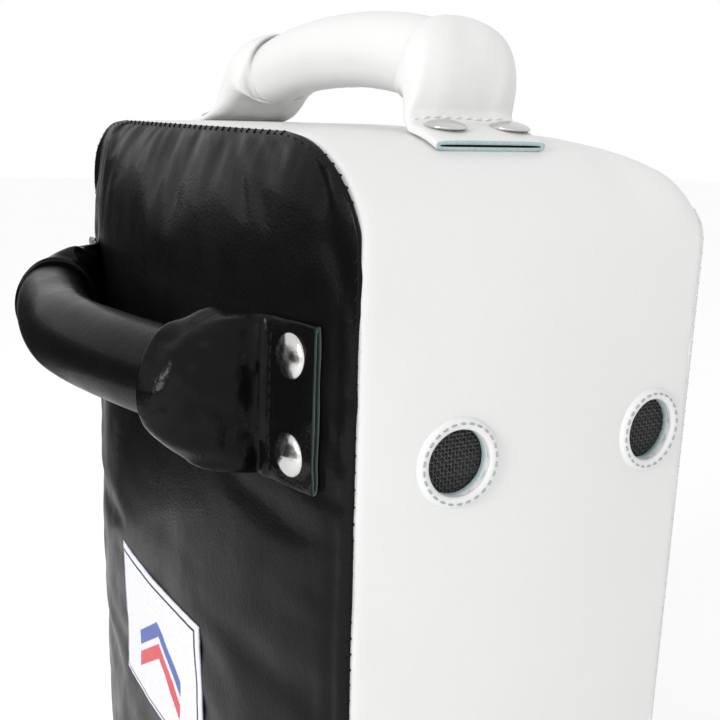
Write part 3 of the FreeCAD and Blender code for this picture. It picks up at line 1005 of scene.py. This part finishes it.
def build_top_grip(materials, surface):
    """The white carry handle, which leans towards the front."""
    centre_y = (TOP_SLEEVE[0].y + TOP_SLEEVE[1].y) / 2 - 2.0
    grip = LeaningGrip(Vector((0, centre_y, HEIGHT)), Vector((0, 0, 1)), Vector((0, 1, 0)), surface)
    flap_end = TOP_CUFF[1].x
    half_flap = (TOP_CUFF[1].y - TOP_CUFF[0].y) / 2

    def sleeve_wrinkle(x, across, depth):
        inner = smoothstep(4, -10, depth)
        return 0.25 * inner * wave(x / 4.0, across / 8, 61) + 0.35 * wave(x / 26, across / 11, depth / 11)

    path = arch_path(TOP_ARCH, 64, 48, 13.8, 13.2)
    build_sleeve("top_grip_leather", grip, path, sleeve_wrinkle, materials["white"], materials["foam"],
                 "top_handle", "white_leather", "top_grip_sleeve")

    def cuff_wrinkle(x, across, depth):
        free = smoothstep(86, 80, x) * smoothstep(62, 67, x)
        folds = 0.8 - 2.6 * abs(wave((across + 0.3 * x) / 9, x / 20, 71))
        cross = (0.6 - 1.9 * abs(wave(x / 4.4, across / 15, 73))) * smoothstep(74, 80, x)
        return free * (0.55 * folds + 0.6 * cross)

    def laid(x):
        return smoothstep(79.5, 84.0, x)

    stations = [
        (61.4, 22.4, 13.8, 13.4, 2.1),
        (61.0, 22.6, 14.8, 14.4, 2.1),
        (62.0, 22.5, 16.8, 14.7, 2.3),
        (64.5, 21.9, 19.0, 14.2, 2.6),
        (68.0, 19.9, half_flap, 12.4, 3.0),
        (71.5, 16.6, half_flap, 9.6, 3.2),
        (74.0, 12.6, half_flap, 6.8, 3.4),
        (75.8, 8.4, half_flap, 4.6, 3.6),
        (77.8, 5.0, half_flap, 2.8, 3.8),
        (81.4, 2.8, half_flap, FLAP_T / 2, 4.4),
        (86.0, 1.8, half_flap, FLAP_T / 2, 4.8),
        (92.0, 0.4, half_flap, FLAP_T / 2, 4.8),
        (flap_end, -1.8, half_flap, FLAP_T / 2, 4.8),
    ]
    # The third look, gap, is painted shade for the gap between the flap's two layers.
    looks = [materials[name] for name in ("white_creased", "white_edge", "gap")]
    build_cuffs("top", grip, grip, spline(stations, 1.5), cuff_wrinkle, laid, looks,
                ((75, 3), (60, 17)))
    return grip


def build_rivets(name, node, spots, material):
    """Caps on the flaps: spots are (point on the flap, outward)."""
    builder = Builder()
    for k, (point, up) in enumerate(spots):
        rivet_cap(builder, point, up, k * 1.7)
    caps = builder.build(name, [material])
    recalculate_outward(caps)
    return settle(caps, "pad", "nickel", node)


# ---------------------------------------------------------------- eyelets and label

def vent_spot(surface, hand, y, radius, angle, height):
    """A point of the eyelet at y, that high above the leather just outside its hole."""
    reach = max(radius, 13.6)
    rim_y = min(y + reach * math.cos(angle), FRONT_SEAM - 0.4)
    rim, _ = surface.hit((hand * 200, rim_y, VENT_Z + reach * math.sin(angle)), (-hand, 0, 0))
    return Vector((rim.x + hand * height, y + radius * math.cos(angle), VENT_Z + radius * math.sin(angle)))


def build_vents(materials, surface):
    """Stitched leather eyelets with cut walls and woven mesh, two on each side."""
    ring_profile = [(10.2, -1.6), (10.15, 0.2), (10.4, 0.85), (11.0, 1.25), (12.0, 1.35), (12.9, 1.15),
                    (13.5, 0.7), (13.9, 0.1), (14.4, -0.6)]
    wall_profile = [(10.2, 0.5), (10.15, -0.5), (10.5, -0.8), (10.5, -1.1), (10.2, -1.4),
                    (10.25, -3.4), (11.6, -4.0)]
    angles = [math.tau * k / 72 for k in range(72)]
    stitches_round = 26
    for hand, side in ((1, "right"), (-1, "left")):
        rings, walls, meshes, threads = Builder(), Builder(), Builder(), Builder()
        for y in VENT_Y:
            spot = functools.partial(vent_spot, surface, hand, y)
            rings.loft([[spot(r, a, h + 0.12 * wave(a * 3, r)) for a in angles] for r, h in ring_profile],
                       closed=True)
            walls.loft([[spot(r + 0.12 * wave(a * 4, h), a, h) for a in angles] for r, h in wall_profile],
                       closed=True)
            middle, _ = surface.hit((hand * 200, y, VENT_Z), (-hand, 0, 0))
            weave_disc(meshes, Vector((middle.x - hand * 4.2, y, VENT_Z)), 11.8, hand)
            for k in range(stitches_round):
                a, b = (math.tau * (k + share) / stitches_round for share in (0.18, 0.82))
                stitch_mesh(threads, spot(12.3, a, 1.35), spot(12.3, b, 1.35), Vector((hand, 0, 0)), 0.34)
        ring = rings.build("vent_ring_leather_" + side, [materials["white"]])
        recalculate_outward(ring)
        wall = walls.build("vent_wall_" + side, [materials["white_edge"]])
        mesh = meshes.build("vent_mesh_weave_" + side, [materials["mesh"]])
        stitches = threads.build("vent_stitches_" + side, [materials["grey_thread"]])
        settle(ring, "pad", "white_leather", "vent_rings_" + side)
        settle(wall, "pad", "backing_leather")
        settle(mesh, "pad", "mesh", "vent_mesh_" + side)
        settle(stitches, "pad", "white_leather")


def weave_disc(builder, centre, radius, hand):
    """A round of plain weave in the YZ plane, in front of a backing disc."""
    pitch = 1.25
    half = int(radius / pitch)
    for turn in (0, 1):
        for k in range(-half, half + 1):
            offset = k * pitch
            reach = math.sqrt(max(0.0, radius ** 2 - offset ** 2))
            if reach < pitch:
                continue
            count = max(2, int(2 * reach / (pitch / 2)))
            rows = []
            for i in range(count + 1):
                s = -reach + 2 * reach * i / count
                lift = 0.28 * math.cos(math.pi * (s / pitch + k + turn))
                ring = []
                for a, b in ((-0.42, 0), (0, 0.24), (0.42, 0), (0, -0.24)):
                    y, z = (s, offset + a) if turn else (offset + a, s)
                    ring.append(centre + Vector((hand * (lift + b), y, z)))
                rows.append(ring)
            builder.loft(rows, closed=True)
    behind = centre - Vector((hand * 0.8, 0, 0))
    ring = builder.row(circle(behind, Vector((0, 1, 0)), Vector((0, 0, 1)), radius, 40))
    builder.fan(ring, behind)


def cut_vent_holes(band):
    """Opens the side band at its four eyelets."""
    builder = Builder()
    for hand in (1, -1):
        for y in VENT_Y:
            ends = [Vector((hand * (HALF_W + reach), y, VENT_Z)) for reach in (-8, 12)]
            builder.tube([circle(end, Vector((0, 1, 0)), Vector((0, 0, 1)), 12.0, 64) for end in ends])
    cutter = builder.build("vent_cutter", [])
    recalculate_outward(cutter)
    modifier = band.modifiers.new("vents", "BOOLEAN")
    modifier.operation = "DIFFERENCE"
    modifier.solver = "EXACT"
    modifier.object = cutter
    apply_modifiers(band)
    bpy.data.objects.remove(cutter)


def label_edge(u, v):
    """Distance from (u, v) to the label's edge."""
    return min(LABEL_HALF_W - abs(u), LABEL_HALF_H - abs(v))


def in_border(edge):
    return 2.2 < edge < 3.0


def label_kind(u, v):
    """Which thread shows at (u, v), measured from the label's middle in millimetres."""
    if in_border(label_edge(u, v)):
        return 1
    rise = v + 0.62 * abs(u)
    if abs(u) < 23:
        if 5.0 < rise < 11.5:
            return 3
        if -4.5 < rise < 2.0:
            return 2
    return 0


def smooth_levels(surface, centre, columns, rows):
    """A function of (u, v) for the cover's depth, smoothed as a stiff label bridges creases."""
    around = (-12.0, -6.0, 0.0, 6.0, 12.0)
    coarse = []
    for j in range(rows + 1):
        z = centre.z + LABEL_HALF_H * (2 * j / rows - 1)
        line = []
        for i in range(columns + 1):
            x = centre.x + LABEL_HALF_W * (2 * i / columns - 1)
            depths = [surface.hit((x + a, BACK_SEAM - 60, z + b), (0, 1, 0))[0].y
                      for a in around for b in around]
            line.append(sum(depths) / len(depths))
        coarse.append(line)

    def level(u, v):
        across, up = (u / LABEL_HALF_W + 1) * columns / 2, (v / LABEL_HALF_H + 1) * rows / 2
        i, j = min(columns - 1, int(across)), min(rows - 1, int(up))
        a, b = smoothstep(0, 1, across - i), smoothstep(0, 1, up - j)
        low_row = coarse[j][i] * (1 - a) + coarse[j][i + 1] * a
        high_row = coarse[j + 1][i] * (1 - a) + coarse[j + 1][i + 1] * a
        return low_row * (1 - b) + high_row * b

    return level


def build_label(materials, surface):
    """The woven label: a generic pair of chevrons inside a thin border."""
    centre = (LABEL[0] + LABEL[1]) / 2
    columns, rows = 170, 116
    level = smooth_levels(surface, centre, 10, 8)
    builder = Builder()
    lines = []
    for j in range(rows + 1):
        v = LABEL_HALF_H * (2 * j / rows - 1)
        line = []
        for i in range(columns + 1):
            u = LABEL_HALF_W * (2 * i / columns - 1)
            edge = label_edge(u, v)
            fray = 0.35 * wave(u / 1.6, v / 1.6, 81) * smoothstep(1.2, 0, edge)
            x, z = u + centre.x, v + centre.z
            cover_y = surface.hit((x, BACK_SEAM - 60, z), (0, 1, 0))[0].y
            lift = 0.75 + 0.25 * wave(u / 14, v / 12, 83) - 0.45 * smoothstep(1.6, 0, edge)
            if in_border(edge):
                lift += 0.18
            depth = min(level(u, v) - 0.5, cover_y - 0.1) - lift
            line.append(Vector((x + math.copysign(fray, u), depth, z + math.copysign(fray, v))))
        lines.append(line)
    builder.loft(lines)
    kinds = []
    for j in range(rows):
        v = LABEL_HALF_H * (2 * (j + 0.5) / rows - 1)
        for i in range(columns):
            u = LABEL_HALF_W * (2 * (i + 0.5) / columns - 1)
            kinds.append(label_kind(u, v))
    builder.kinds = kinds
    names = ("label", "label_border", "label_red", "label_blue")
    label = builder.build("label_woven", [materials[name] for name in names])
    aim_normals(label, Vector((0, -1, 0)))
    thicken(label, 0.8)
    return settle(label, "pad", "label_cloth", "label_patch")


# ---------------------------------------------------------------- forearm strap

def strap_profile(width, thick, edge=0.8):
    """Cross-section of a strap as (across, height), with eased edges."""
    half, low, high = width / 2, 0.0, thick
    return [(-half + edge, low), (-half, low + edge), (-half, high - edge), (-half + edge, high),
            (-half * 0.5, high), (0, high), (half * 0.5, high), (half - edge, high), (half, high - edge),
            (half, low + edge), (half - edge, low), (half * 0.5, low), (0, low), (-half * 0.5, low)]


def strap_rings(centre_line, width, thick, level, ripple):
    """Rings of a strap whose underside follows centre_line, a list of (x, y)."""
    rings = []
    last = len(centre_line) - 1
    for i, (x, y) in enumerate(centre_line):
        a, b = centre_line[max(0, i - 1)], centre_line[min(last, i + 1)]
        tangent = Vector((b[0] - a[0], b[1] - a[1])).normalized()
        up = Vector((-tangent.y, tangent.x))
        if up.y < 0:
            up = -up
        ring = []
        for across, height in strap_profile(width, thick):
            height += ripple * wave(x / 9, across / 12, 91)
            ring.append(Vector((x + up.x * height, y + up.y * height, level + across)))
        rings.append(ring)
    return rings


def strap_piece(name, centre_line, width, thick, level, material, ripple=0.15):
    builder = Builder()
    builder.tube(strap_rings(centre_line, width, thick, level, ripple))
    piece = builder.build(name, [material])
    recalculate_outward(piece)
    subdivide(piece)
    return piece


def arch_line(inner_y, radius, x_from, x_to, count=48):
    """Points of an arc whose top is at inner_y, between two x limits."""
    centre_y = inner_y - radius
    return [(x, centre_y + math.sqrt(radius ** 2 - x ** 2))
            for x in (x_from + (x_to - x_from) * k / count for k in range(count + 1))]


def build_strap(materials, surface):
    """The hook-and-loop strap across the front face."""
    level = (STRAP_BAND[0].z + STRAP_BAND[1].z) / 2
    width = STRAP_BAND[1].z - STRAP_BAND[0].z - 0.6
    band_top = STRAP_BAND[1].y
    band_under = band_top - STRAP_T
    tab_under = band_under - PILE_GAP - 2 * PILE_T - STRAP_T
    span = 84.0
    sag = tab_under - FRONT - FRONT_SWELL
    radius = (span ** 2 + sag ** 2) / (2 * sag)
    steps = radius + STRAP_T + 2 * PILE_T + PILE_GAP

    def cover(x):
        return surface.hit((x, 200, level), (0, -1, 0))[0].y

    tab_end = STRAP_TAB[1].x
    line = [(x, cover(x) + 0.5) for x in (tab_end, tab_end - 5, tab_end - 10, tab_end - 16, tab_end - 21)]
    line += [(86.5, cover(86.5) + 1.1)]
    line += list(reversed(arch_line(tab_under, radius, STRAP_TAB[0].x, span)))
    tab = strap_piece("strap_tab_leather", line, width, STRAP_T, level, materials["white_creased"])
    settle(tab, "pad", "white_leather", "strap_tab")

    low, high = STRAP_ANCHOR
    line = [(x, cover(x) + 0.3) for x in (low.x, -109.0, -103.0, -98.0, high.x)]
    anchor = strap_piece("strap_anchor_leather", line, width, STRAP_T, level, materials["white_creased"])
    settle(anchor, "pad", "white_leather", "strap_anchor")

    line = arch_line(band_under, steps, STRAP_BAND[0].x + 1.4, STRAP_BAND[1].x, 60)
    band = strap_piece("strap_band_leather", line, width, STRAP_T, level, materials["white"])
    settle(band, "forearm_strap", "white_leather", "strap_band")
    threads = Builder()
    for across in (-width / 2 + 3, width / 2 - 3):
        points, normals = [], []
        for ring in strap_rings(line[1:-1], width, STRAP_T, level, 0.15):
            top = ring[5]
            normal = (ring[5] - ring[12]).normalized()
            points.append(Vector((top.x, top.y, level + across)))
            normals.append(normal)
        stitch_line(threads, points, normals)
    stitches = threads.build("strap_stitches", [materials["white_thread"]])
    settle(stitches, "forearm_strap", "white_leather")

    loop_low, loop_high = box_mm("strap_loop_patch")
    line = arch_line(tab_under + STRAP_T, radius + STRAP_T, loop_low.x, loop_high.x, 20)
    loop = strap_piece("strap_loop_pile", line, width - 3, PILE_T, level, materials["pile"], 0.05)
    settle(loop, "pad", "hook_and_loop", "strap_loop_patch")
    hook_low, hook_high = box_mm("strap_hook_patch")
    line = arch_line(band_under - PILE_T, steps - PILE_T, hook_low.x, hook_high.x, 20)
    hook = strap_piece("strap_hook_pile", line, width - 3, PILE_T, level, materials["pile"], 0.05)
    settle(hook, "forearm_strap", "hook_and_loop", "strap_hook_patch")

    spots = []
    inset = CAP_R
    for x in (STRAP_RIVETS[0].x + inset, STRAP_RIVETS[1].x - inset):
        for z in (STRAP_RIVETS[0].z + inset, STRAP_RIVETS[1].z - inset):
            spots.append((Vector((x, cover(x) + 0.45 + STRAP_T, z)), Vector((0, 1, 0))))
    build_rivets("strap_rivets", "strap_rivet_caps", spots, materials["nickel"])


# ---------------------------------------------------------------- seams

def build_seams(materials, covers):
    """Overcast thread round the back seam and the front seam."""
    count = int(SEAM_LENGTH / SEAM_STITCH)
    gusset = Surface(covers[0])
    both = Surface(*covers)
    for name, y, way, thread_name in (("back", BACK_SEAM, 1, "black"), ("front", FRONT_SEAM, -1, "white")):
        points, normals = outline(y, 0.0, count)
        inner, _ = outline(y, 1.1, count)
        threads = Builder()
        face = Surface(covers[1 if name == "back" else 2])
        facing = Vector((0, -way, 0))
        for k in range(count):
            point, normal = points[k], normals[k]
            outward = Vector((normal.x, 0, normal.y))
            slant = (points[(k + 1) % count] - point) * 0.28
            on_face = face.hit(Vector((inner[k].x, y, inner[k].y)) + facing * 30, -facing)[0]
            diagonal = (outward + facing).normalized()
            rim = Vector((point.x + slant.x / 2, y, point.y + slant.y / 2))
            over = both.hit(rim + diagonal * 30, -diagonal)[0]
            side = Vector((point.x + slant.x, y + way * 0.8, point.y + slant.y))
            on_side = gusset.hit(side + outward * 30, -outward)[0]
            thread_loop(threads, [on_face, on_face + facing * 0.3, over + diagonal * 0.1,
                                  on_side + outward * 0.15, on_side], diagonal, 0.21)
        stitches = threads.build(name + "_seam_stitches", [materials[thread_name + "_thread"]])
        settle(stitches, "pad", thread_name + "_leather")


def flap_stitches(name, grip, cuff, x, half, material, slot):
    """A row of stitches across a cuff at x, where its two layers are sewn together."""
    threads = Builder()
    points, normals = [], []
    for k in range(13):
        across = -half + 2 * half * k / 12
        place, normal = cuff.hit(GripFrame.at(grip, x, 60, across), -grip.out)
        points.append(place)
        normals.append(normal)
    stitch_line(threads, points, normals, 3.0, 0.9, 0.4)
    stitches = threads.build(name + "_stitches", [material])
    settle(stitches, "pad", slot)


def finish_fittings(materials, back_grip, top_grip):
    """Rivets and sewing on the flaps, laid on the finished cuffs."""
    for kind, grip, axis, line_x, half, colour in (("back", back_grip, 2, 90.3, 22.5, "black"),
                                                   ("top", top_grip, 1, 81.5, 17.5, "white")):
        node = kind + "_rivet_caps"
        low, high = box_mm(node)
        spots = []
        for hand, side in ((1, "right"), (-1, "left")):
            cuff = Surface(bpy.data.objects[f"{kind}_cuff_leather_{side}"])
            for value in (low[axis] + CAP_R, high[axis] - CAP_R):
                origin = grip.origin + grip.out * 60
                origin.x = hand * (high.x - CAP_R)
                origin[axis] = value
                place, normal = cuff.hit(origin, -grip.out)
                normal = (normal + 2 * grip.out).normalized() if kind == "top" else normal
                spots.append((place, normal))
            flap_stitches(f"{kind}_cuff_{side}", grip, cuff, hand * line_x, half,
                          materials[colour + "_thread"], colour + "_leather")
        build_rivets(kind + "_rivets", node, spots, materials["nickel"])


# ---------------------------------------------------------------- foam

def foam_slab(name, offsets, node, material):
    """A slab from rows of (y, inset, share of the width and height)."""
    builder = Builder()
    rows = []
    middle = HEIGHT / 2
    for y, inset, share in offsets:
        points, _ = outline(min(max(y, BACK_SEAM), FRONT_SEAM), inset, 160)
        rows.append([Vector((p.x * share, y, middle + (p.y - middle) * share)) for p in points])
    builder.tube(rows)
    slab = builder.build(name, [material])
    recalculate_outward(slab)
    settle(slab, "pad", "foam", node)


def build_foam(materials):
    """The three glued sheets inside the covers."""
    clear = LEATHER + 1.2
    split_back, split_front = (corner.y for corner in box_mm("core_foam"))
    back = [(BACK_SEAM - 9.5, clear, 0.52), (BACK_SEAM - 8.0, clear, 0.68), (BACK_SEAM - 5.5, clear, 0.80),
            (BACK_SEAM - 2.5, clear, 0.90), (BACK_SEAM + 2.0, clear, 0.975)]
    back += [(BACK_SEAM + 6 + (split_back - BACK_SEAM - 6) * k / 6, clear, 1.0) for k in range(7)]
    core = [(split_back + 0.1 + (split_front - split_back - 0.2) * k / 10, clear, 1.0) for k in range(11)]
    front = [(split_front + (FRONT_SEAM - 2.5 - split_front) * k / 14, clear, 1.0) for k in range(15)]
    front += [(FRONT_SEAM - 1.2, clear + 1.5, 1.0)]
    for name, rows in (("back_foam", back), ("core_foam", core), ("front_foam", front)):
        foam_slab(name + "_sheet", rows, name, materials["foam"])


# ---------------------------------------------------------------- hidden CAD pieces

def paint_cad_nodes(materials):
    """Finishes for the CAD pieces that stay as they are."""
    by_word = (("foam", "foam"), ("core", "foam"), ("backing", "suede"), ("washers", "nickel"),
               ("posts", "nickel"), ("caps", "nickel"), ("mesh", "mesh"), ("patch", "pile"),
               ("label", "label"), ("back_", "black"), ("", "white"))
    for name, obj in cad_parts.items():
        wanted = next(material for word, material in by_word if word in name)
        for place in obj.material_slots:
            place.material = materials[wanted]


# ---------------------------------------------------------------- stage

CAMERA_AT = Vector((357.7, -200.2, HEIGHT + 5.5))
CAMERA_AZIMUTH = 59.06
CAMERA_PITCH = 14.69
CAMERA_ROLL = 1.72
CAMERA_LENS = 52.43
CAMERA_SHIFT = (-0.022, 0.040)
FLOOR_REACH = 6000
CARD_CORNERS = ((-620, -60), (-560, -560), (-150, -950), (250, -1100))
CARD_HEIGHTS = (30, 450)


def build_camera():
    azimuth, pitch, roll = (math.radians(v) for v in (CAMERA_AZIMUTH, CAMERA_PITCH, CAMERA_ROLL))
    back = Vector((math.sin(azimuth) * math.cos(pitch), -math.cos(azimuth) * math.cos(pitch),
                   math.sin(pitch)))
    right = (-back).cross(Vector((0, 0, 1))).normalized()
    up = right.cross(-back)
    across = right * math.cos(roll) + up * math.sin(roll)
    upright = up * math.cos(roll) - right * math.sin(roll)
    data = bpy.data.cameras.new("camera")
    data.sensor_width = 36.0
    data.lens = CAMERA_LENS
    data.shift_x, data.shift_y = CAMERA_SHIFT
    data.clip_start = 0.01
    data.clip_end = 100.0
    camera = bpy.data.objects.new("camera", data)
    turn = Matrix((across, upright, back)).transposed().to_4x4()
    camera.matrix_world = Matrix.Translation(CAMERA_AT * MM) @ turn
    bpy.context.scene.collection.objects.link(camera)
    bpy.context.scene.camera = camera


def area_light(name, place, aim, size, power):
    data = bpy.data.lights.new(name, "AREA")
    data.shape = "RECTANGLE"
    data.size, data.size_y = size
    data.energy = power
    light = bpy.data.objects.new(name, data)
    light.location = place
    direction = Vector(aim) - Vector(place)
    light.rotation_mode = "QUATERNION"
    light.rotation_quaternion = direction.to_track_quat("-Z", "Y")
    bpy.context.scene.collection.objects.link(light)


def build_stage():
    """A plain pale floor, soft studio light and a dark card for the black leather to reflect."""
    floor_shader = Shader("floor", (0.96, 0.96, 0.96), 0.6, Specular_IOR_Level=0.2)
    floor_shader.colour(floor_shader.noise(3, 2), (0.95, 0.95, 0.95), (0.98, 0.98, 0.98))
    builder = Builder()
    builder.loft([[(x, y, 0) for x in (-FLOOR_REACH, FLOOR_REACH)] for y in (-FLOOR_REACH, FLOOR_REACH)])
    floor = builder.build("floor", [floor_shader.material])
    floor.location.z = -0.0005
    world = bpy.data.worlds.new("studio")
    bpy.context.scene.world = world
    world.use_nodes = True
    background = world.node_tree.nodes["Background"]
    background.inputs["Color"].default_value = (1, 1, 1, 1)
    background.inputs["Strength"].default_value = 1.0
    area_light("key", (0.45, -1.35, 0.78), (0, 0, 0.3), (0.32, 0.5), 10)
    area_light("fill", (1.1, -0.7, 0.35), (0, 0, 0.35), (0.8, 0.8), 1)
    card_shader = Shader("dark_card", (0.01, 0.01, 0.01), 0.9)
    card_shader.colour(card_shader.noise(40, 2), (0.008, 0.008, 0.008), (0.012, 0.012, 0.012))
    builder = Builder()
    builder.loft([[(x, y, z) for x, y in CARD_CORNERS] for z in CARD_HEIGHTS])
    card = builder.build("dark_card", [card_shader.material])
    card.visible_camera = False
    card.visible_diffuse = False
    card.visible_shadow = False


def main():
    materials = make_materials()
    build_camera()
    band = build_side_band(materials)
    thicken(band, LEATHER)
    surface = Surface(band)
    back = build_back_cover(materials)
    front = build_front_cover(materials)
    for cover, slot, node in ((back, "black_leather", "back_cover"),
                              (front, "white_leather", "front_cover"),
                              (band, "white_leather", "side_band")):
        settle(cover, "pad", slot, node)
    back_grip = build_back_grip(materials, Surface(back))
    top_grip = build_top_grip(materials, surface)
    finish_fittings(materials, back_grip, top_grip)
    build_vents(materials, surface)
    build_seams(materials, (band, back, front))
    cut_vent_holes(band)
    build_label(materials, Surface(back))
    build_strap(materials, Surface(front))
    build_foam(materials)
    paint_cad_nodes(materials)
    build_stage()
    bpy.context.scene.view_settings.view_transform = "Standard"


main()
